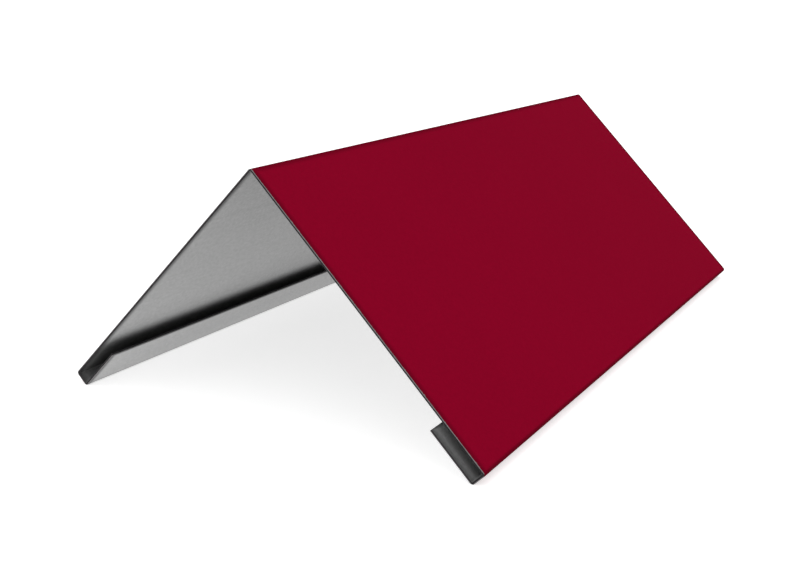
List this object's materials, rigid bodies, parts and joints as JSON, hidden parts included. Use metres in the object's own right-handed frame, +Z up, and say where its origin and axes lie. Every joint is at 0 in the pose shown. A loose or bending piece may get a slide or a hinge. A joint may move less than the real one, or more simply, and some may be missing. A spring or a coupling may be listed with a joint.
{
  "type": "roof ridge cap",
  "caption": "Folded sheet-metal ridge cap: two flat wings at a right angle, each with a square return fold under its eave edge, covering the top of a pitched roof.",
  "frame": {"origin": "on the floor, below the middle of the ridge line: the centre of the bounding box's bottom", "axes": "+Y along the ridge, +X across the cap towards the right wing, +Z up through the ridge"},
  "size_m": [0.2108, 0.35, 0.1105],
  "materials": {
    "coated_steel": "matte"
  },
  "bodies": {
    "root": {"ridge_cap": "coated_steel"}
  },
  "joints": []
}
